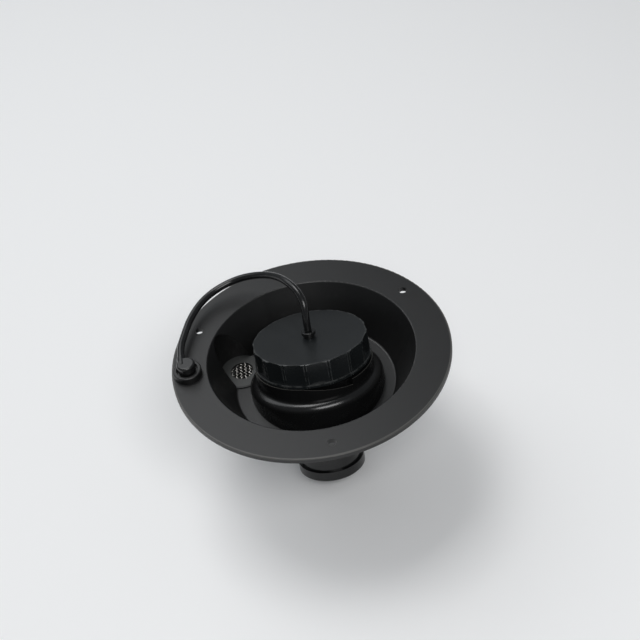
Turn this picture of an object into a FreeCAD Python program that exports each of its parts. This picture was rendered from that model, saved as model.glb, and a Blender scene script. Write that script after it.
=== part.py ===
import FreeCAD, Part
import math
import os
import re
import Sketcher
from FreeCAD import Placement, Rotation, Vector

# Caravan water filler hatch: a round dished flange with a tilted filler neck, a bayonet cap
# on a strap, and a screened air vent beside the neck. Millimetres, with the flange's back
# face at Z 0, +Z out of the wall and +Y up the wall.

SIZES = {
    # Flange and dish
    "flange_dia": 160.0,
    "flange_thick": 3.0,
    "flange_round": 0.5,
    "mouth_dia": 119.5,
    "mouth_round": 0.8,
    "floor_dia": 93.7,
    "floor_round": 1.5,
    "dish_depth": 26.3,
    "wall": 2.5,
    # Fixing holes, the lowest one straight down
    "screw_inset": 9.35,
    "screw_hole_dia": 5.0,
    "screw_count": 3,
    # Boss and neck, with heights along the tilted neck axis from the dish floor
    "neck_tilt": 16.0,
    "neck_right": 0.9,
    "neck_up": 0.6,
    "boss_dia": 78.4,
    "boss_rise": 7.4,
    "boss_round": 4.5,
    "neck_dia": 58.0,
    "neck_wall": 3.5,
    "neck_rise": 17.3,
    "ledge_reach": 3.0,
    "ledge_thick": 3.0,
    "slot_sweep": 42.0,
    "stop_sweep": 6.0,
    "stop_gap": 2.0,
    # Cam collar round the neck, with heights above the boss
    "collar_reach": 5.3,
    "collar_low": 3.0,
    "collar_mid": 6.5,
    "collar_gap": 0.4,
    "land_sweep": 63.0,
    "ramp_sweep": 50.0,
    "ramp_end": -57.4,
    # Funnel, spout and its hose bead
    "funnel_start": 6.0,
    "funnel_length": 10.0,
    "spout_dia": 37.0,
    "spout_wall": 2.5,
    "spout_reach": 57.2,
    "bead_dia": 40.0,
    "bead_length": 6.5,
    "bead_bevel": 1.0,
    # Vent alcove, its hose barb and its screen
    "vent_distance": 46.6,
    "vent_angle": 152.4,
    "alcove_dia": 25.6,
    "pad_rise": 0.7,
    "hub_dia": 16.4,
    "hub_depth": 7.0,
    "vent_tube_dia": 12.7,
    "vent_bore_dia": 9.0,
    "vent_well_dia": 12.0,
    "vent_reach": 30.0,
    "barb_dia": 14.0,
    "barb_length": 4.0,
    "barb_bevel": 0.8,
    "screen_dia": 13.4,
    "screen_thick": 0.6,
    "screen_sink": 0.4,
    "screen_rim": 0.8,
    "screen_fit": 0.1,
    "mesh_pitch": 1.5,
    "mesh_hole": 1.0,
    "mesh_rows": 7,
    # Strap socket on the flange and the strap's plug in it
    "socket_inset": 9.4,
    "socket_angle": 179.0,
    "socket_dia": 16.2,
    "socket_rise": 4.0,
    "socket_round": 0.8,
    "recess_dia": 12.4,
    "recess_depth": 2.0,
    "plug_stem_dia": 5.6,
    "plug_fit": 0.1,
    "plug_gap": 0.2,
    "plug_head_dia": 10.5,
    "plug_head_height": 4.8,
    "plug_head_round": 1.2,
    "plug_barb_dia": 7.2,
    "plug_barb_length": 2.0,
    "plug_pocket_dia": 8.6,
    "plug_pocket_depth": 2.6,
    "sleeve_dia": 5.2,
    "sleeve_reach": 6.4,
    "sleeve_side": 2.2,
    # Cap
    "cap_skirt": 3.3,
    "cap_height": 14.6,
    "cap_top_thick": 3.0,
    "cap_round": 0.7,
    "cap_gap": 1.0,
    "foot_reach": 0.6,
    "foot_height": 1.8,
    "panel_count": 16,
    "panel_depth": 0.85,
    "panel_curve_dia": 60.0,
    "groove_dia": 0.9,
    "core_fit": 0.4,
    "core_wall": 2.2,
    "lug_thick": 3.2,
    "lug_gap": 0.4,
    "lug_fit": 0.6,
    "lug_sweep": 30.0,
    "cap_turn": 75.0,
    # Gasket under the cap
    "gasket_thick": 2.5,
    "gasket_width": 6.0,
    "gasket_fit": 0.2,
    "gasket_gap": 0.2,
    # Strap and its stud in the cap
    "stud_dia": 4.2,
    "stud_fit": 0.05,
    "stud_gap": 0.15,
    "stud_neck_dia": 6.4,
    "stud_neck_height": 2.0,
    "stud_collar_dia": 8.2,
    "stud_collar_height": 1.8,
    "stud_collar_round": 0.5,
    "stud_barb_dia": 6.4,
    "stud_barb_length": 3.0,
    "strap_dia": 4.2,
}

# Heights and radii that several pieces share. Heights on the neck run along its own axis.
FACE = "flange_thick"
FLOOR = "(flange_thick - dish_depth)"
PAD = f"({FLOOR} + pad_rise)"
SEAT = f"({PAD} - screen_sink - screen_thick)"
SOCKET_TOP = "(flange_thick + socket_rise)"
NECK_TOP = "(boss_rise + neck_rise)"
LEDGE = f"({NECK_TOP} - ledge_thick)"
CAP_UNDER = f"({NECK_TOP} + gasket_gap + gasket_thick)"
CAP_TOP = f"({CAP_UNDER} + cap_top_thick)"
CAP_FOOT = f"({CAP_TOP} - cap_height)"
LUG_TOP = f"({LEDGE} - lug_gap)"
CORE_END = f"({LUG_TOP} - lug_thick)"
STUD_TOP = f"({CAP_TOP} + stud_neck_height + stud_collar_height)"
NECK_BORE = "(neck_dia / 2 - neck_wall)"
LEDGE_BORE = f"({NECK_BORE} - ledge_reach)"
CORE = f"({LEDGE_BORE} - core_fit)"
COLLAR = "(neck_dia / 2 + collar_reach)"
CAP_BORE = "(neck_dia / 2 + cap_gap)"
CAP_SIDE = f"({CAP_BORE} + cap_skirt)"
CAP_EDGE = f"({CAP_SIDE} + foot_reach)"
VENT_X = "vent_distance * cos(vent_angle)"
VENT_Y = "vent_distance * sin(vent_angle)"
SOCKET_X = "(flange_dia / 2 - socket_inset) * cos(socket_angle)"
SOCKET_Y = "(flange_dia / 2 - socket_inset) * sin(socket_angle)"
HEAD_FOOT = f"({SOCKET_TOP} + plug_gap)"
SLEEVE_HEIGHT = f"({HEAD_FOOT} + plug_head_height / 2)"

# How far a cutting shape runs past what it cuts.
PAST = "2"

doc = FreeCAD.newDocument("filler_hatch")
sheet = doc.addObject("Spreadsheet::Sheet", "sizes")
for row, (alias, size) in enumerate(SIZES.items(), start=1):
    sheet.set(f"A{row}", alias)
    sheet.set(f"B{row}", str(size))
    sheet.setAlias(f"B{row}", alias)
doc.recompute()


def on_sheet(text):
    """The expression, with each size name read from the sheet."""
    return re.sub(r"[a-z_]+", lambda word: "sizes." + word[0] if word[0] in SIZES else word[0], text)


def number(text):
    """The present value of an expression."""
    found = sheet.evalExpression(on_sheet(text))
    return float(getattr(found, "Value", found))


def bind(thing, links):
    """Ties properties of a thing to expressions on the sheet."""
    for name, text in links.items():
        thing.setExpression(name, on_sheet(text))
    return thing


def tilted(thing):
    """Stands a thing, modelled along Z, on the neck's axis where that leaves the dish floor."""
    thing.Placement = Placement(Vector(), Rotation(Vector(-1, 0, 0), number("neck_tilt")))
    bind(thing, {"Placement.Rotation.Angle": "neck_tilt"})
    return placed(thing, "neck_right", "neck_up", FLOOR)


def placed(thing, x="0", y="0", z="0"):
    """Moves a thing, upright as it is."""
    return bind(thing, {"Placement.Base.x": x, "Placement.Base.y": y, "Placement.Base.z": z})


def cylinder(name, radius, bottom, top, x="0", y="0"):
    """An upright cylinder between two heights."""
    thing = doc.addObject("Part::Cylinder", name)
    bind(thing, {"Radius": radius, "Height": f"{top} - {bottom}"})
    return placed(thing, x, y, bottom)


def sector(name, radius, bottom, top, start, sweep):
    """A slice of an upright cylinder, from a start angle through a sweep."""
    thing = cylinder(name, radius, bottom, top)
    return bind(thing, {"Angle": sweep, "Placement.Rotation.Angle": f"{start} + 360"})


def fused(name, things):
    joined = doc.addObject("Part::MultiFuse", name)
    joined.Shapes = things
    return joined


def cut(name, base, tool):
    rest = doc.addObject("Part::Cut", name)
    rest.Base = base
    rest.Tool = tool
    return rest


def plane_of(body, role):
    """One of the body's own origin planes or axes."""
    return next(item for item in body.Origin.OriginFeatures if item.Role == role)


def sketch_on(body, name, role):
    sketch = body.newObject("Sketcher::SketchObject", name)
    sketch.AttachmentSupport = (plane_of(body, role), [""])
    sketch.MapMode = "FlatFace"
    return sketch


def hold(sketch, axis, spot, text):
    """Holds one coordinate of a sketched point, as a distance from the sketch's origin."""
    geometry, end = spot
    if abs(number(text)) < 1e-9:
        line = -2 if axis == "DistanceX" else -1
        sketch.addConstraint(Sketcher.Constraint("PointOnObject", geometry, end, line))
        return
    held = sketch.addConstraint(Sketcher.Constraint(axis, -1, 1, geometry, end, number(text)))
    sketch.setExpression(f"Constraints[{held}]", on_sheet(text))


def outline(sketch, corners):
    """A closed run of straight lines through corners, each held by its two coordinates."""
    spots = [Vector(number(x), number(y), 0) for x, y in corners]
    for spot, following in zip(spots, spots[1:] + spots[:1]):
        sketch.addGeometry(Part.LineSegment(spot, following), False)
    for side in range(len(corners)):
        following = (side + 1) % len(corners)
        sketch.addConstraint(Sketcher.Constraint("Coincident", side, 2, following, 1))
    for side, (x, y) in enumerate(corners):
        hold(sketch, "DistanceX", (side, 1), x)
        hold(sketch, "DistanceY", (side, 1), y)


def ring_line(sketch, x, y, diameter):
    """A sketched circle."""
    centre = Vector(number(x), number(y), 0)
    circle = sketch.addGeometry(Part.Circle(centre, Vector(0, 0, 1), number(diameter) / 2), False)
    hold(sketch, "DistanceX", (circle, 3), x)
    hold(sketch, "DistanceY", (circle, 3), y)
    held = sketch.addConstraint(Sketcher.Constraint("Diameter", circle, number(diameter)))
    sketch.setExpression(f"Constraints[{held}]", on_sheet(diameter))


def edges_at(shape, radius, height):
    """The names of a shape's circular edges of one radius at one height."""
    names = []
    for spot, edge in enumerate(shape.Edges, start=1):
        curve = edge.Curve
        if isinstance(curve, Part.Circle) and math.isclose(curve.Radius, number(radius), abs_tol=1e-4):
            if math.isclose(curve.Center.z, number(height), abs_tol=1e-4):
                names.append(f"Edge{spot}")
    return names


def turned(name, corners, rounds=()):
    """A body of revolution about Z, from (radius, height) corners, with some edges rounded."""
    body = doc.addObject("PartDesign::Body", name)
    sketch = sketch_on(body, name + "_section", "XZ_Plane")
    outline(sketch, corners)
    solid = body.newObject("PartDesign::Revolution", name + "_turned")
    solid.Profile = sketch
    solid.ReferenceAxis = (sketch, ["V_Axis"])
    solid.Angle = 360
    doc.recompute()
    for count, (radius, height, size) in enumerate(rounds):
        softened = body.newObject("PartDesign::Fillet", f"{name}_round_{count}")
        softened.Base = (solid, edges_at(solid.Shape, radius, height))
        bind(softened, {"Radius": size})
        doc.recompute()
        solid = softened
    return body


# Hatch body, one moulding
def dish():
    """The flange and its dish, with the vent's alcove in the dish wall."""
    mouth = "mouth_dia / 2"
    blank = turned(
        "dish_blank",
        [
            ("0", f"{FLOOR} - wall"),
            ("floor_dia / 2 + wall", f"{FLOOR} - wall"),
            (f"{mouth} + wall", "0"),
            ("flange_dia / 2", "0"),
            ("flange_dia / 2", FACE),
            ("0", FACE),
        ],
        [("flange_dia / 2", FACE, "flange_round")],
    )
    hollow = turned(
        "dish_hollow",
        [
            ("0", FLOOR),
            ("floor_dia / 2", FLOOR),
            (mouth, FACE),
            (f"{mouth} + {PAST}", FACE),
            (f"{mouth} + {PAST}", f"{FACE} + {PAST}"),
            ("0", f"{FACE} + {PAST}"),
        ],
        [("floor_dia / 2", FLOOR, "floor_round"), (mouth, FACE, "mouth_round")],
    )
    wall_radius = "alcove_dia / 2 + wall"
    alcove_wall = cylinder("alcove_wall", wall_radius, f"({PAD} - wall)", "flange_thick / 2", VENT_X, VENT_Y)
    alcove = cylinder("alcove", "alcove_dia / 2", PAD, f"({FACE} + {PAST})", VENT_X, VENT_Y)
    solid = fused("dish_solid", [blank, alcove_wall])
    space = fused("dish_space", [hollow, alcove])
    return cut("dish", solid, space)


def boss():
    """The raised round boss on the dish floor, cut off level with the floor's underside."""
    skirt = "((wall + boss_dia / 2 * sin(neck_tilt)) / cos(neck_tilt) + 1)"
    block = turned(
        "boss_block",
        [
            ("0", f"-{skirt}"),
            ("boss_dia / 2", f"-{skirt}"),
            ("boss_dia / 2", "boss_rise"),
            ("0", "boss_rise"),
        ],
        [("boss_dia / 2", "boss_rise", "boss_round")],
    )
    room = cylinder("boss_room", "floor_dia / 2", f"({FLOOR} - wall / 2)", FACE)
    kept = doc.addObject("Part::MultiCommon", "boss")
    kept.Shapes = [tilted(block), room]
    return kept


def boss_hollow():
    """The space under the boss's top, and the hole in that top for the neck."""
    inside = "boss_dia / 2 - wall"
    hole = "neck_dia / 2 - neck_wall / 2"
    deep = "-(boss_dia / 2)"
    hollow = turned(
        "boss_hollow",
        [
            ("0", deep),
            (inside, deep),
            (inside, "boss_rise - wall"),
            (hole, "boss_rise - wall"),
            (hole, f"boss_rise + {PAST}"),
            ("0", f"boss_rise + {PAST}"),
        ],
    )
    return tilted(hollow)


def cam_collar():
    """The collar round the neck: twice round a middle step, a high land and a ramp down."""
    middle = "(180 - land_sweep - ramp_sweep)"
    root = "(boss_rise - wall)"
    land = f"({CAP_FOOT} - collar_gap)"
    radius = COLLAR
    pieces = []
    for half, turn in enumerate(("0", "180")):
        first = f"(ramp_end + {turn})"
        pieces.append(sector(f"step_{half}", radius, root, "(boss_rise + collar_mid)", first, middle))
        pieces.append(sector(f"land_{half}", radius, root, land, f"({first} + {middle})", "land_sweep"))
        pieces.append(ramp(half, first, root, land))
    return pieces


def ramp(half, end, root, land):
    """One ramp: a block whose top slopes down from the land to its low end."""
    radius = COLLAR
    chord = f"(2 * {radius} * sin(ramp_sweep / 2))"
    block = sector(f"ramp_block_{half}", radius, root, land, "(0 - ramp_sweep / 2)", "ramp_sweep")
    wedge = doc.addObject("Part::Wedge", f"ramp_wedge_{half}")
    # The wedge's X runs outward, its Y up the neck and its Z back up the ramp.
    wedge.Placement = Placement(Vector(), Rotation(Vector(1, 0, 0), 90))
    links = {
        "Xmin": "0",
        "Xmax": f"2 * {radius}",
        "X2min": "0",
        "X2max": f"2 * {radius}",
        "Ymin": "0",
        "Ymax": f"2 * ({land} - boss_rise - collar_low)",
        "Zmin": f"-{PAST}",
        "Zmax": "0",
        "Z2min": f"-{PAST}",
        "Z2max": f"2 * {chord}",
    }
    bind(wedge, links)
    placed(wedge, "0", f"{chord} / 2", "boss_rise + collar_low")
    rest = cut(f"ramp_{half}", block, wedge)
    return bind(rest, {"Placement.Rotation.Angle": f"{end} - ramp_sweep / 2 + 360"})


def neck():
    """The neck, its cam collar, the funnel and the spout, bored through."""
    collar_root = "boss_rise - wall"
    collar_low = "boss_rise + collar_low"
    funnel_end = "-funnel_start - funnel_length"
    outer = turned(
        "neck_outer",
        [
            ("0", "-spout_reach"),
            ("bead_dia / 2 - bead_bevel", "-spout_reach"),
            ("bead_dia / 2", "-spout_reach + bead_bevel"),
            ("bead_dia / 2", "-spout_reach + bead_length"),
            ("spout_dia / 2", "-spout_reach + bead_length"),
            ("spout_dia / 2", funnel_end),
            ("neck_dia / 2", "-funnel_start"),
            ("neck_dia / 2", collar_root),
            (COLLAR, collar_root),
            (COLLAR, collar_low),
            ("neck_dia / 2", collar_low),
            ("neck_dia / 2", NECK_TOP),
            ("0", NECK_TOP),
        ],
    )
    spout_bore = "spout_dia / 2 - spout_wall"
    bore = turned(
        "neck_bore",
        [
            ("0", f"-spout_reach - {PAST}"),
            (spout_bore, f"-spout_reach - {PAST}"),
            (spout_bore, funnel_end),
            (NECK_BORE, "-funnel_start"),
            (NECK_BORE, LEDGE),
            (LEDGE_BORE, LEDGE),
            (LEDGE_BORE, f"{NECK_TOP} + {PAST}"),
            ("0", f"{NECK_TOP} + {PAST}"),
        ],
    )
    slots = []
    stops = []
    for half, turn in enumerate(("0", "180")):
        start = f"({turn} - slot_sweep / 2)"
        foot = f"({LEDGE} - {PAST})"
        top = f"({NECK_TOP} + {PAST})"
        slots.append(sector(f"slot_{half}", NECK_BORE, foot, top, start, "slot_sweep"))
        end = f"({turn} - cap_turn - lug_sweep / 2 - stop_gap - stop_sweep)"
        within = f"({NECK_BORE} + neck_wall / 2)"
        block = sector(f"stop_block_{half}", within, CORE_END, LEDGE, end, "stop_sweep")
        inside = cylinder(f"stop_inside_{half}", LEDGE_BORE, f"({CORE_END} - {PAST})", f"({LEDGE} + {PAST})")
        stops.append(cut(f"stop_{half}", block, inside))
    solid = fused("neck_solid", [outer] + cam_collar())
    space = fused("neck_space", [bore] + slots)
    tube = cut("neck_tube", solid, space)
    return tilted(fused("neck", [tube] + stops))


def vent_tube():
    """The vent's hub under its pad, the tube and the hose barb on its end, all solid."""
    root = f"({PAD} - wall / 3)"
    end = f"({PAD} - vent_reach)"
    body = turned(
        "vent_tube",
        [
            ("0", end),
            ("barb_dia / 2 - barb_bevel", end),
            ("barb_dia / 2", f"{end} + barb_bevel"),
            ("barb_dia / 2", f"{end} + barb_length"),
            ("vent_tube_dia / 2", f"{end} + barb_length"),
            ("vent_tube_dia / 2", f"{PAD} - hub_depth"),
            ("hub_dia / 2", f"{PAD} - hub_depth"),
            ("hub_dia / 2", root),
            ("0", root),
        ],
    )
    return placed(body, VENT_X, VENT_Y)


def vent_space():
    """The vent's bore, the well under the screen and the screen's seat."""
    end = f"({PAD} - vent_reach)"
    well = f"({PAD} - hub_depth + wall)"
    seat = "screen_dia / 2 + screen_fit"
    body = turned(
        "vent_space",
        [
            ("0", f"{end} - {PAST}"),
            ("vent_bore_dia / 2", f"{end} - {PAST}"),
            ("vent_bore_dia / 2", well),
            ("vent_well_dia / 2", well),
            ("vent_well_dia / 2", SEAT),
            (seat, SEAT),
            (seat, f"{PAD} + {PAST}"),
            ("0", f"{PAD} + {PAST}"),
        ],
    )
    return placed(body, VENT_X, VENT_Y)


def socket():
    """The raised round socket on the flange that takes the strap's plug."""
    body = turned(
        "socket",
        [
            ("0", "flange_thick / 2"),
            ("socket_dia / 2", "flange_thick / 2"),
            ("socket_dia / 2", SOCKET_TOP),
            ("0", SOCKET_TOP),
        ],
        [("socket_dia / 2", SOCKET_TOP, "socket_round")],
    )
    return placed(body, SOCKET_X, SOCKET_Y)


def socket_space():
    """The socket's recess, the hole for the plug's stem and the pocket for its barb."""
    body = turned(
        "socket_space",
        [
            ("0", f"-{PAST}"),
            ("plug_pocket_dia / 2", f"-{PAST}"),
            ("plug_pocket_dia / 2", "plug_pocket_depth"),
            ("plug_stem_dia / 2 + plug_fit", "plug_pocket_depth"),
            ("plug_stem_dia / 2 + plug_fit", f"{SOCKET_TOP} - recess_depth"),
            ("recess_dia / 2", f"{SOCKET_TOP} - recess_depth"),
            ("recess_dia / 2", f"{SOCKET_TOP} + {PAST}"),
            ("0", f"{SOCKET_TOP} + {PAST}"),
        ],
    )
    return placed(body, SOCKET_X, SOCKET_Y)


def screw_holes():
    """The holes through the flange for the fixing screws."""
    holes = []
    for spot in range(round(number("screw_count"))):
        angle = f"({spot} * 360 / screw_count - 90)"
        x = f"(flange_dia / 2 - screw_inset) * cos{angle}"
        y = f"(flange_dia / 2 - screw_inset) * sin{angle}"
        hole = cylinder(f"screw_hole_{spot}", "screw_hole_dia / 2", f"(0 - {PAST})", f"({FACE} + {PAST})", x, y)
        holes.append(hole)
    return holes


def hatch_body():
    """The whole moulding: dish, boss, neck, spout, vent tube and strap socket."""
    pad = cylinder("vent_pad", "(alcove_dia + wall) / 2", f"({PAD} - wall / 2)", PAD, VENT_X, VENT_Y)
    dish_and_boss = fused("dish_and_boss", [dish(), pad, boss(), vent_tube()])
    opened = cut("dish_opened", dish_and_boss, boss_hollow())
    solid = fused("body_solid", [opened, neck(), socket()])
    space = fused("body_space", [vent_space(), socket_space()] + screw_holes())
    return cut("hatch_body", solid, space)


# Vent screen
def vent_screen():
    """A thin disc pierced by a square mesh, with a plain rim."""
    body = doc.addObject("PartDesign::Body", "vent_screen")
    disc_line = sketch_on(body, "screen_line", "XY_Plane")
    ring_line(disc_line, "0", "0", "screen_dia")
    disc = body.newObject("PartDesign::Pad", "screen_disc")
    disc.Profile = disc_line
    bind(disc, {"Length": "screen_thick"})
    first = "mesh_pitch * (mesh_rows - 1) / 2"
    low = f"-({first}) - mesh_hole / 2"
    high = f"-({first}) + mesh_hole / 2"
    hole_line = sketch_on(body, "mesh_line", "XY_Plane")
    outline(hole_line, [(low, low), (high, low), (high, high), (low, high)])
    hole = body.newObject("PartDesign::Pocket", "mesh_hole_cut")
    hole.Profile = hole_line
    hole.Type = "ThroughAll"
    hole.Reversed = True
    doc.recompute()
    rows = body.newObject("PartDesign::MultiTransform", "mesh")
    rows.Originals = [hole]
    steps = []
    for name, axis in (("mesh_across", "X_Axis"), ("mesh_up", "Y_Axis")):
        step = doc.addObject("PartDesign::LinearPattern", name)
        step.Direction = (plane_of(body, axis), [""])
        bind(step, {"Length": "mesh_pitch * (mesh_rows - 1)", "Occurrences": "mesh_rows"})
        steps.append(step)
    rows.Transformations = steps
    body.Tip = rows
    doc.recompute()
    rim_line = sketch_on(body, "rim_line", "XY_Plane")
    ring_line(rim_line, "0", "0", "screen_dia")
    ring_line(rim_line, "0", "0", "screen_dia - 2 * screen_rim")
    rim = body.newObject("PartDesign::Pad", "screen_rim")
    rim.Profile = rim_line
    bind(rim, {"Length": "screen_thick"})
    body.Tip = rim
    return placed(body, VENT_X, VENT_Y, SEAT)


# Filler cap
def cap_shell():
    """The cap's top, skirt and core, with hollow panels between the ribs of the skirt."""
    hole = "stud_dia / 2 + stud_fit"
    body = turned(
        "cap_shell",
        [
            (hole, CAP_TOP),
            (CAP_SIDE, CAP_TOP),
            (CAP_SIDE, f"{CAP_FOOT} + foot_height"),
            (CAP_EDGE, f"{CAP_FOOT} + foot_height"),
            (CAP_EDGE, CAP_FOOT),
            (CAP_BORE, CAP_FOOT),
            (CAP_BORE, CAP_UNDER),
            (CORE, CAP_UNDER),
            (CORE, CORE_END),
            (f"{CORE} - core_wall", CORE_END),
            (f"{CORE} - core_wall", CAP_UNDER),
            (hole, CAP_UNDER),
        ],
        [(CAP_SIDE, CAP_TOP, "cap_round")],
    )
    panel = (f"{CAP_SIDE} - panel_depth + panel_curve_dia / 2", "0", "panel_curve_dia")
    half = "(180 / panel_count)"
    groove = (f"{CAP_SIDE} * cos{half}", f"{CAP_SIDE} * sin{half}", "groove_dia")
    for name, (x, y, diameter) in (("panel", panel), ("rib_groove", groove)):
        line = sketch_on(body, name + "_line", "XY_Plane")
        line.AttachmentOffset = Placement(Vector(0, 0, number(CAP_TOP)), Rotation())
        bind(line, {"AttachmentOffset.Base.z": CAP_TOP})
        ring_line(line, x, y, diameter)
        scoop = body.newObject("PartDesign::Pocket", name)
        scoop.Profile = line
        bind(scoop, {"Length": "cap_height - foot_height"})
        doc.recompute()
        around = body.newObject("PartDesign::PolarPattern", name + "s")
        around.Originals = [scoop]
        around.Axis = (plane_of(body, "Z_Axis"), [""])
        around.Angle = 360
        bind(around, {"Occurrences": "panel_count"})
        body.Tip = around
        doc.recompute()
    return body


def filler_cap():
    """The cap with the two lugs that hook under the neck's ledge."""
    lugs = []
    for half, turn in enumerate(("0", "180")):
        start = f"({turn} - lug_sweep / 2)"
        block = sector(f"lug_block_{half}", f"({NECK_BORE} - lug_fit)", CORE_END, LUG_TOP, start, "lug_sweep")
        foot = f"({CORE_END} - {PAST})"
        inside = cylinder(f"lug_inside_{half}", f"({CORE} - core_wall / 2)", foot, f"({LUG_TOP} + {PAST})")
        lugs.append(cut(f"lug_{half}", block, inside))
    return tilted(fused("filler_cap", [cap_shell()] + lugs))


# Cap gasket
def cap_gasket():
    """A flat ring against the cap's underside, over the neck's rim."""
    inner = f"{CORE} + gasket_fit"
    outer = f"{CORE} + gasket_fit + gasket_width"
    foot = f"{CAP_UNDER} - gasket_thick"
    body = turned("cap_gasket", [(inner, foot), (outer, foot), (outer, CAP_UNDER), (inner, CAP_UNDER)])
    return tilted(body)


# Strap, its stud in the cap and its plug in the flange
def strap_stud():
    """The strap's end in the cap: a barbed stem, a neck and a round collar."""
    barb_top = f"{CAP_UNDER} - stud_gap"
    barb_end = f"{CAP_UNDER} - stud_gap - stud_barb_length"
    neck_foot = f"{CAP_TOP} + stud_gap"
    collar_foot = f"{CAP_TOP} + stud_neck_height"
    body = turned(
        "strap_stud",
        [
            ("0", barb_end),
            ("stud_dia / 4", barb_end),
            ("stud_barb_dia / 2", barb_top),
            ("stud_dia / 2", barb_top),
            ("stud_dia / 2", neck_foot),
            ("stud_neck_dia / 2", neck_foot),
            ("stud_neck_dia / 2", collar_foot),
            ("stud_collar_dia / 2", collar_foot),
            ("stud_collar_dia / 2", STUD_TOP),
            ("0", STUD_TOP),
        ],
        [("stud_collar_dia / 2", STUD_TOP, "stud_collar_round")],
    )
    return tilted(body)


def strap_plug():
    """The strap's end at the flange: a button head on a barbed stem, with a side sleeve."""
    head_top = f"({HEAD_FOOT} + plug_head_height)"
    barb_top = "plug_pocket_depth - plug_gap"
    barb_end = "plug_pocket_depth - plug_gap - plug_barb_length"
    button = turned(
        "plug_button",
        [
            ("0", barb_end),
            ("plug_stem_dia / 4", barb_end),
            ("plug_barb_dia / 2", barb_top),
            ("plug_stem_dia / 2", barb_top),
            ("plug_stem_dia / 2", HEAD_FOOT),
            ("plug_head_dia / 2", HEAD_FOOT),
            ("plug_head_dia / 2", head_top),
            ("0", head_top),
        ],
        [("plug_head_dia / 2", head_top, "plug_head_round")],
    )
    sleeve = doc.addObject("Part::Cylinder", "plug_sleeve")
    sleeve.Placement = Placement(Vector(), Rotation(Vector(-1, 0, 0), 90))
    bind(sleeve, {"Radius": "sleeve_dia / 2", "Height": "sleeve_reach"})
    placed(sleeve, f"{SOCKET_X} - sleeve_side", SOCKET_Y, SLEEVE_HEIGHT)
    return fused("strap_plug", [placed(button, SOCKET_X, SOCKET_Y), sleeve])


def strap_route():
    """The strap's corners, from the stud's top over the dish and round the rim to the plug."""
    tilt = math.radians(number("neck_tilt"))
    up_neck = Vector(0, math.sin(tilt), math.cos(tilt))
    foot = Vector(number("neck_right"), number("neck_up"), number(FLOOR))
    stud_end = foot + up_neck * number(STUD_TOP)
    plug_end = Vector(
        number(f"{SOCKET_X} - sleeve_side"), number(f"{SOCKET_Y} + sleeve_reach"), number(SLEEVE_HEIGHT)
    )
    between = [
        stud_end + up_neck * 8,
        Vector(1.6, 16.0, 24.3),
        Vector(-0.3, 22.9, 28.5),
        Vector(-4.4, 31.4, 29.4),
        Vector(-10.3, 44.0, 25.5),
        Vector(-19.8, 56.0, 19.1),
        Vector(-32.9, 63.0, 13.5),
        Vector(-46.6, 60.3, 11.0),
        Vector(-57.1, 52.2, 10.3),
        Vector(-65.0, 39.6, 9.8),
        Vector(-69.4, 27.2, 9.6),
        plug_end + Vector(0, 9, 0),
    ]
    return [stud_end] + between + [plug_end]


def rounded_path(corners):
    """Straight runs joined by tangent arcs, each arc as large as its two runs allow."""
    edges = []
    radii = []
    start = corners[0]
    for before, corner, after in zip(corners, corners[1:], corners[2:]):
        back = (before - corner).normalize()
        ahead = (after - corner).normalize()
        half_turn = (math.pi - back.getAngle(ahead)) / 2
        reach = 0.45 * min((before - corner).Length, (after - corner).Length)
        radius = reach / math.tan(half_turn)
        radii.append(radius)
        into = corner + back * reach
        out = corner + ahead * reach
        middle = corner + (back + ahead).normalize() * (radius / math.cos(half_turn) - radius)
        edges.append(Part.LineSegment(start, into).toShape())
        edges.append(Part.Arc(into, middle, out).toShape())
        start = out
    edges.append(Part.LineSegment(start, corners[-1]).toShape())
    return Part.Wire(edges), radii


def strap():
    """The round strap itself, a plain tube along its path."""
    corners = strap_route()
    path, radii = rounded_path(corners)
    radius = number("strap_dia") / 2
    section = Part.Wire([Part.Circle(corners[0], corners[1] - corners[0], radius).toShape()])
    tube = path.makePipeShell([section], True, False)
    expected = math.pi * radius**2 * path.Length
    print("strap length", round(path.Length, 1), "radii", [round(size, 1) for size in radii])
    print("strap volume over section times length", round(tube.Volume / expected, 4))
    body = doc.addObject("Part::Feature", "strap")
    body.Shape = tube
    return body


pieces = [
    hatch_body(),
    vent_screen(),
    filler_cap(),
    cap_gasket(),
    strap_stud(),
    strap_plug(),
    strap(),
]
doc.recompute()

for item in doc.Objects:
    if "Invalid" in item.State or "Error" in item.State:
        raise RuntimeError(f"{item.Label} did not recompute: {item.State}")

os.makedirs("parts", exist_ok=True)
for piece in pieces:
    if piece.Shape.isNull() or not piece.Shape.isValid():
        raise RuntimeError(f"{piece.Label} has no valid shape")
    piece.Shape.exportStep(f"parts/{piece.Label}.step")
    print(piece.Label, "solids", len(piece.Shape.Solids), "volume", round(piece.Shape.Volume, 1))
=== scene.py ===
import math
import bmesh
import bpy
from mathutils import Matrix, Vector


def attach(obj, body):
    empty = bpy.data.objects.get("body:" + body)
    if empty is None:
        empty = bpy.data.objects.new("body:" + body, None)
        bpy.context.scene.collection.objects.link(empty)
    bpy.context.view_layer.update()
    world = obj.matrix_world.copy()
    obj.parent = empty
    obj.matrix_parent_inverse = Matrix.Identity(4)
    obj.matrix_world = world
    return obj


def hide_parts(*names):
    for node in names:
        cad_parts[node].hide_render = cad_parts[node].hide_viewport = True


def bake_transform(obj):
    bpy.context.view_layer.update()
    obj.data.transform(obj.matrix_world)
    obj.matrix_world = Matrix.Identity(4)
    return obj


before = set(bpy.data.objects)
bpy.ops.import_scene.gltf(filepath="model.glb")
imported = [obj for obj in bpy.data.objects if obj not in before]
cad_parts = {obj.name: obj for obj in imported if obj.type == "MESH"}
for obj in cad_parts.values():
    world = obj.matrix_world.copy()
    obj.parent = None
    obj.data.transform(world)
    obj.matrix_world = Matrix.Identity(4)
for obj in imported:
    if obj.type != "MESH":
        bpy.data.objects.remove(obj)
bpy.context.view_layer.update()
scene = bpy.context.scene


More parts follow.
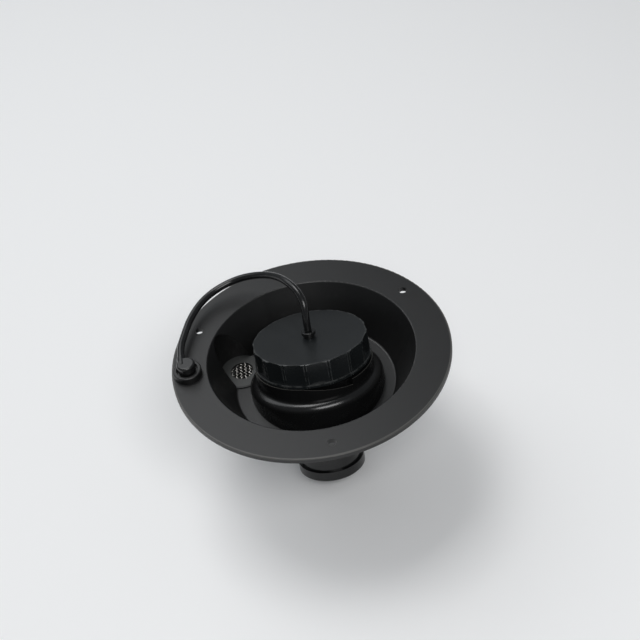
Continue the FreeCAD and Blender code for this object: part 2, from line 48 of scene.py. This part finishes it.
class Field:
    """A shader socket that takes part in ordinary arithmetic."""

    def __init__(self, maker, socket):
        self.maker = maker
        self.socket = socket

    def reckon(self, operation, *others):
        return self.maker.math(operation, self, *others)

    def __add__(self, other):
        return self.reckon("ADD", other)

    def __radd__(self, other):
        return self.maker.math("ADD", other, self)

    def __sub__(self, other):
        return self.reckon("SUBTRACT", other)

    def __rsub__(self, other):
        return self.maker.math("SUBTRACT", other, self)

    def __mul__(self, other):
        return self.reckon("MULTIPLY", other)

    def __rmul__(self, other):
        return self.maker.math("MULTIPLY", other, self)

    def __truediv__(self, other):
        return self.reckon("DIVIDE", other)

    def __neg__(self):
        return self.reckon("MULTIPLY", -1.0)


class Finish:
    """A material and the nodes that give its surface."""

    def __init__(self, name, roughness, specular=0.5, metallic=0.0):
        self.material = bpy.data.materials.new(name)
        self.material.use_nodes = True
        self.tree = self.material.node_tree
        self.shader = self.tree.nodes["Principled BSDF"]
        self.set("Roughness", roughness)
        self.set("Specular IOR Level", specular)
        self.set("Metallic", metallic)

    def node(self, kind, settings=(), **inputs):
        """Adds a node, with its settings and with its sockets named by their words."""
        made = self.tree.nodes.new(kind)
        for key, value in dict(settings).items():
            setattr(made, key, value)
        for key, value in inputs.items():
            self.feed(made.inputs[key.replace("_", " ")], value)
        return made

    def feed(self, socket, value):
        if isinstance(value, Field):
            value = value.socket
        if isinstance(value, bpy.types.NodeSocket):
            self.tree.links.new(value, socket)
        else:
            socket.default_value = value

    def math(self, operation, *values):
        made = self.tree.nodes.new("ShaderNodeMath")
        made.operation = operation
        for socket, value in zip(made.inputs, values):
            self.feed(socket, value)
        return Field(self, made.outputs[0])

    def step(self, value, low, high):
        """0 below low, 1 above high and smooth between."""
        made = self.node("ShaderNodeMapRange", {"interpolation_type": "SMOOTHSTEP"})
        for key, number in (("Value", value), ("From Min", low), ("From Max", high)):
            self.feed(made.inputs[key], number)
        return Field(self, made.outputs[0])

    def noise(self, scale, detail=3.0, roughness=0.5, stretch=None):
        """Smooth noise over the piece's own position, in cycles a metre."""
        where = self.node("ShaderNodeTexCoord").outputs["Object"]
        if stretch:
            where = self.node("ShaderNodeVectorMath", {"operation": "MULTIPLY"}, Vector=where).outputs[0]
            self.feed(where.node.inputs[1], stretch)
        made = self.node("ShaderNodeTexNoise", Vector=where, Scale=scale, Detail=detail, Roughness=roughness)
        return Field(self, made.outputs["Fac"])

    def place(self):
        """The position's three parts."""
        where = self.node("ShaderNodeTexCoord").outputs["Object"]
        parts = self.node("ShaderNodeSeparateXYZ", Vector=where)
        return [Field(self, out) for out in parts.outputs]

    def round_neck(self):
        """Across, back, radius and height, measured from the tilted neck's foot."""
        x, y, z = self.place()
        tilt = math.radians(16)
        across = x - 0.0009
        back = (y - 0.0006) * math.cos(tilt) - (z + 0.0233) * math.sin(tilt)
        height = (y - 0.0006) * math.sin(tilt) + (z + 0.0233) * math.cos(tilt)
        return across, back, self.math("SQRT", across * across + back * back), height

    def near(self, value, middle, core, reach):
        """1 within core of the middle, 0 beyond reach."""
        return 1.0 - self.step(self.math("ABSOLUTE", value - middle), core, reach)

    def vent_pad_sheen(self):
        """1 on the pad round the vent screen, where a painted sheen lightens it."""
        x, y, z = self.place()
        across = x + 0.0413
        up = y - 0.0216
        reach = self.math("SQRT", across * across + up * up)
        return self.near(z, -0.0226, 0.0002, 0.0004) * (1.0 - self.step(reach, 0.0126, 0.0131)) * 0.9

    def rib_edge_highlights(self):
        """1 along both edges of each of the cap's sixteen ribs, and along its rim and foot: where painted
        highlights go on those edges.
        """
        across, back, radius, height = self.round_neck()
        turn = self.math("ARCTAN2", back, across) * (16 / math.tau) + 16.0
        off = self.math("ABSOLUTE", self.math("FRACT", turn) - 0.5)
        rib = self.near(off, 0.055, 0.008, 0.03)
        side = self.step(radius, 0.0318, 0.0324)
        rim = self.near(height, 0.0303, 0.0002, 0.0005)
        foot = self.near(height, 0.0173, 0.0003, 0.0005) * self.step(radius, 0.0334, 0.0336) * 1.6
        return self.math("MAXIMUM", foot, self.math("MAXIMUM", rib, rim) * side)

    def body_edge_highlights(self):
        """Paler on the flange's rim and on the upward faces of the cam collar's edge: painted highlights
        where those rounded edges catch the light.
        """
        x, y, z = self.place()
        rim = self.step(self.math("SQRT", x * x + y * y), 0.0789, 0.0793) * self.step(z, 0.0022, 0.0026)
        across, back, radius, height = self.round_neck()
        collar = self.near(radius, 0.0341, 0.0002, 0.0004) * self.near(height, 0.0127, 0.003, 0.0033)
        return rim * 0.9 + collar * self.step(self.upward(), 0.4, 0.7) * 0.8

    def upward(self):
        """How far the surface faces along the tilted neck, from -1 to 1."""
        facing = self.node("ShaderNodeTexCoord").outputs["Normal"]
        along = self.node("ShaderNodeVectorMath", {"operation": "DOT_PRODUCT"}, Vector=facing)
        along.inputs[1].default_value = (0, math.sin(math.radians(16)), math.cos(math.radians(16)))
        return Field(self, along.outputs["Value"])

    def colour(self, low, high, share):
        """A colour between two, by share."""
        made = self.node("ShaderNodeMix", {"data_type": "RGBA"})
        self.feed(made.inputs[0], share)
        for socket, end in ((made.inputs[6], low), (made.inputs[7], high)):
            self.feed(socket, end if isinstance(end, bpy.types.NodeSocket) else (*end, 1))
        return made.outputs[2]

    def bump(self, height, distance, strength=1.0):
        made = self.node("ShaderNodeBump", Height=height, Distance=distance, Strength=strength)
        self.set("Normal", made.outputs[0])

    def set(self, socket, value):
        self.feed(self.shader.inputs[socket], value)


def body_finish():
    """Black moulded plastic: fine satin grain, a little dust and lighter scuffs."""
    finish = Finish("body_plastic", 0.4, 0.5)
    cloud = finish.noise(22.0, 4.0)
    dust = finish.step(finish.noise(240.0, 5.0, 0.62), 0.52, 0.78)
    scuff = finish.step(finish.noise(60.0, 6.0, 0.6, (1.0, 6.0, 1.0)), 0.6, 0.78)
    across, back, radius, height = finish.round_neck()
    boss = 1.0 - finish.step(radius, 0.0388, 0.04)
    share = cloud * 0.45 + dust * 0.3 + scuff * 0.25
    dark = finish.colour((0.0036, 0.0037, 0.0038), (0.0085, 0.0086, 0.0088), share)
    # Painted highlight: a paler base colour along the flange's rim and the collar's upper edge, standing in
    # for the light those edges catch.
    painted_edge_highlight = finish.colour(dark, (0.07, 0.068, 0.064), finish.body_edge_highlights())
    # Painted sheen: the pad round the vent screen gets a paler base colour, standing in for the light it
    # reflects from above.
    finish.set("Base Color", finish.colour(painted_edge_highlight, (0.042, 0.044, 0.043), finish.vent_pad_sheen()))
    finish.set("Roughness", 0.38 - boss * 0.2 + cloud * 0.08 + dust * 0.06 - scuff * 0.03)
    grain = finish.noise(2600.0, 2.0)
    finish.bump(grain * 0.7 + cloud * 0.3, 0.00006, 0.35)
    return finish.material


def cap_finish():
    """Black moulded plastic, smoother than the body, with faint flow marks."""
    finish = Finish("cap_plastic", 0.34, 0.5)
    cloud = finish.noise(35.0, 4.0)
    flow = finish.noise(70.0, 3.0, 0.5, (1.0, 0.18, 1.0))
    # Painted highlights: a paler base colour along the rib edges, the rim and the foot, broken up by noise,
    # standing in for the glints on those edges.
    painted_edge_highlight = finish.rib_edge_highlights() * finish.step(finish.noise(300.0, 3.0, 0.6), 0.35, 0.6)
    dark = finish.colour((0.0065, 0.0078, 0.0084), (0.0105, 0.0123, 0.013), cloud)
    finish.set("Base Color", finish.colour(dark, (0.05, 0.052, 0.052), painted_edge_highlight * 0.8))
    side = finish.math("ABSOLUTE", finish.upward())
    face = finish.step(side, 0.9, 0.97)
    finish.set("Roughness", 0.13 + face * 0.15 + cloud * 0.06 + flow * 0.05)
    grain = finish.noise(3200.0, 2.0)
    finish.bump(grain * 0.55 + flow * 0.45, 0.00004, 0.3)
    return finish.material


def strap_finish():
    """Soft black plastic with a gentle sheen."""
    finish = Finish("strap_plastic", 0.38, 0.45)
    cloud = finish.noise(90.0, 3.0)
    finish.set("Base Color", finish.colour((0.004, 0.0041, 0.0043), (0.009, 0.0092, 0.0095), cloud))
    finish.set("Roughness", 0.18 + cloud * 0.12)
    finish.bump(finish.noise(1800.0, 2.0), 0.00005, 0.3)
    return finish.material


def rubber_finish():
    """Soft matt black rubber."""
    finish = Finish("gasket_rubber", 0.7, 0.35)
    cloud = finish.noise(120.0, 3.0)
    finish.set("Base Color", finish.colour((0.014, 0.014, 0.014), (0.022, 0.022, 0.022), cloud))
    finish.set("Roughness", 0.62 + cloud * 0.16)
    return finish.material


def steel_finish():
    """Fine steel wire, a little dulled."""
    finish = Finish("screen_steel", 0.34, 0.5, 1.0)
    cloud = finish.noise(500.0, 3.0)
    finish.set("Base Color", finish.colour((0.42, 0.41, 0.39), (0.72, 0.70, 0.67), cloud))
    finish.set("Roughness", 0.16 + cloud * 0.14)
    return finish.material


def paint(node, material):
    """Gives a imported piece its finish."""
    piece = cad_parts[node]
    piece.data.materials.clear()
    piece.data.materials.append(material)
    return piece


body = body_finish()
cap = cap_finish()
strap_plastic = strap_finish()
rubber = rubber_finish()
steel = steel_finish()

paint("hatch_body", body)
paint("filler_cap", cap)
paint("cap_gasket", rubber)
paint("strap_stud", strap_plastic)
paint("strap_plug", strap_plastic)
paint("vent_screen", steel)
paint("strap", strap_plastic)
MM = 0.001


def tube(bm, points, radius, sides=24, closed=False):
    """Adds a round tube along points, joined up or with flat closed ends."""
    rings = []
    across = Vector((0.3, 0.2, 0.93)) if closed else Vector((1, 0, 0))
    last = len(points) - 1
    for spot, point in enumerate(points):
        before = points[spot - 1] if closed else points[max(spot - 1, 0)]
        after = points[(spot + 1) % len(points)] if closed else points[min(spot + 1, last)]
        along = (after - before).normalized()
        across = (across - along * across.dot(along)).normalized()
        other = along.cross(across)
        ring = []
        for side in range(sides):
            angle = 2 * math.pi * side / sides
            ring.append(bm.verts.new(point + (across * math.cos(angle) + other * math.sin(angle)) * radius))
        rings.append(ring)
    following_rings = rings[1:] + rings[:1] if closed else rings[1:]
    for first, second in zip(rings, following_rings):
        for side in range(sides):
            following = (side + 1) % sides
            bm.faces.new((first[side], first[following], second[following], second[side])).smooth = True
    if not closed:
        bm.faces.new(list(reversed(rings[0])))
        bm.faces.new(rings[-1])


def built(name, bm, material):
    """Turns a drawn mesh into a piece of the scene."""
    mesh = bpy.data.meshes.new(name)
    bm.to_mesh(mesh)
    bm.free()
    mesh.materials.append(material)
    made = bpy.data.objects.new(name, mesh)
    scene.collection.objects.link(made)
    return made


def wire_screen():
    """Woven wire cloth on the diagonal."""
    middle = Vector((-41.298, 21.590, -23.3)) * MM
    reach = 6.65 * MM
    pitch = 1.85 * MM
    bm = bmesh.new()
    for turn, phase, wire, rise in ((40, 0, 0.13 * MM, 0), (130, 1, 0.2 * MM, 0.1 * MM)):
        along = Vector((math.cos(math.radians(turn)), math.sin(math.radians(turn)), 0))
        aside = Vector((-along.y, along.x, 0))
        for row in range(-3, 4):
            half = math.sqrt(max(reach**2 - (row * pitch) ** 2, 0))
            steps = max(int(2 * half / (pitch / 4)), 4)
            points = []
            for step in range(steps + 1):
                run = -half + 2 * half * step / steps
                wave = rise + math.cos(math.pi * (run / pitch + row + phase)) * 0.15 * MM
                points.append(middle + along * run + aside * row * pitch + Vector((0, 0, wave)))
            tube(bm, points, wire, 10)
    screen = built("wire_screen", bm, steel)
    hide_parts("vent_screen")
    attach(screen, "hatch")


wire_screen()

# Strap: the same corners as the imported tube, drawn as one smooth moulded cord.
TILT = math.radians(16.0)
UP_NECK = Vector((0, math.sin(TILT), math.cos(TILT)))
NECK_FOOT = Vector((0.9, 0.6, -23.3))
STUD_END = NECK_FOOT + UP_NECK * 34.2
PLUG_END = Vector((-72.789, 7.632, 9.6))
CORNERS = [
    STUD_END,
    STUD_END + UP_NECK * 8,
    Vector((1.6, 16.0, 24.3)),
    Vector((-0.3, 22.9, 28.5)),
    Vector((-4.4, 31.4, 29.4)),
    Vector((-10.3, 44.0, 25.5)),
    Vector((-19.8, 56.0, 19.1)),
    Vector((-32.9, 63.0, 13.5)),
    Vector((-46.6, 60.3, 11.0)),
    Vector((-57.1, 52.2, 10.3)),
    Vector((-65.0, 39.6, 9.8)),
    Vector((-69.4, 27.2, 9.6)),
    PLUG_END + Vector((0, 9, 0)),
    PLUG_END,
]
STRAP_RADIUS = 0.0021


def centreline(corners):
    """Points along the smooth curve that the corners guide."""
    line = bpy.data.curves.new("strap_line", "CURVE")
    line.dimensions = "3D"
    line.resolution_u = 16
    spline = line.splines.new("NURBS")
    spline.points.add(len(corners) - 1)
    for point, corner in zip(spline.points, corners):
        point.co = (*(corner / 1000), 1)
    spline.order_u = 3
    spline.use_endpoint_u = True
    holder = bpy.data.objects.new("strap_line", line)
    scene.collection.objects.link(holder)
    bpy.context.view_layer.update()
    mesh = bpy.data.meshes.new_from_object(holder)
    points = [v.co.copy() for v in mesh.vertices]
    bpy.data.objects.remove(holder)
    return points


path = centreline(CORNERS)
strap_mesh = bmesh.new()
tube(strap_mesh, path, STRAP_RADIUS)
strap = built("strap_cord", strap_mesh, strap_plastic)
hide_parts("strap")
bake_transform(strap)

# Floor, light and camera

def plain(name, colour, roughness=0.9):
    finish = Finish(name, roughness, 0.3)
    finish.set("Base Color", (*colour, 1))
    return finish.material


floor_mesh = bpy.data.meshes.new("floor")
size = 6.0
low = -0.0865
floor_mesh.from_pydata([(-size, -size, low), (size, -size, low), (size, size, low), (-size, size, low)], [], [(0, 1, 2, 3)])
floor = bpy.data.objects.new("floor", floor_mesh)
scene.collection.objects.link(floor)
floor_mesh.materials.append(plain("floor", (0.9, 0.9, 0.9)))

world = bpy.data.worlds.new("studio")
scene.world = world
world.use_nodes = True
tree = world.node_tree
tree.nodes.clear()
output = tree.nodes.new("ShaderNodeOutputWorld")
sky = tree.nodes.new("ShaderNodeBackground")
seen = tree.nodes.new("ShaderNodeBackground")
mixed = tree.nodes.new("ShaderNodeMixShader")
rays = tree.nodes.new("ShaderNodeLightPath")
sky.inputs["Color"].default_value = (0.9, 0.95, 1.0, 1)
sky.inputs["Strength"].default_value = 0.2
seen.inputs["Color"].default_value = (0.86, 0.87, 0.88, 1)
seen.inputs["Strength"].default_value = 1.0
tree.links.new(rays.outputs["Is Camera Ray"], mixed.inputs[0])
tree.links.new(sky.outputs[0], mixed.inputs[1])
tree.links.new(seen.outputs[0], mixed.inputs[2])
tree.links.new(mixed.outputs[0], output.inputs[0])


def area(name, location, aim, wide, high, watts, colour=(1, 1, 1)):
    data = bpy.data.lights.new(name, "AREA")
    data.shape = "RECTANGLE"
    data.size = wide
    data.size_y = high
    data.energy = watts
    data.color = colour
    lamp = bpy.data.objects.new(name, data)
    scene.collection.objects.link(lamp)
    lamp.location = location
    lamp.rotation_mode = "QUATERNION"
    lamp.rotation_quaternion = (Vector(aim) - Vector(location)).to_track_quat("-Z", "Y")
    return lamp


lamps = [
    area("rear", (-0.62, 1.0, 1.15), (0, 0.0, 0.0), 1.5, 1.05, 6.8, (0.96, 0.98, 1.0)),
    area("above", (-0.25, 0.4, 1.4), (0, 0, 0), 0.7, 0.6, 7.0),
    area("front", (0.2, -1.05, 1.25), (0, -0.15, 0), 1.0, 0.6, 13.0),
]

camera_data = bpy.data.cameras.new("camera")
camera = bpy.data.objects.new("camera", camera_data)
scene.collection.objects.link(camera)
scene.camera = camera
camera_data.sensor_width = 36.0
camera_data.lens = 67.5
camera_data.clip_start = 0.01
camera_data.clip_end = 30.0
camera_data.shift_x = -0.5 / 640
camera_data.shift_y = 0.5 / 640
right = Vector((0.97949, -0.16372, -0.11727))
down = Vector((-0.19711, -0.66003, -0.72487))
ahead = Vector((0.04127, 0.73312, -0.67880))
camera.matrix_world = Matrix.Translation(Vector((-19.24, -489.3, 477.8)) * MM) @ Matrix(
    (right, -down, -ahead)
).transposed().to_4x4()

scene.view_settings.view_transform = "Standard"
scene.view_settings.look = "None"
scene.view_settings.exposure = 0.0
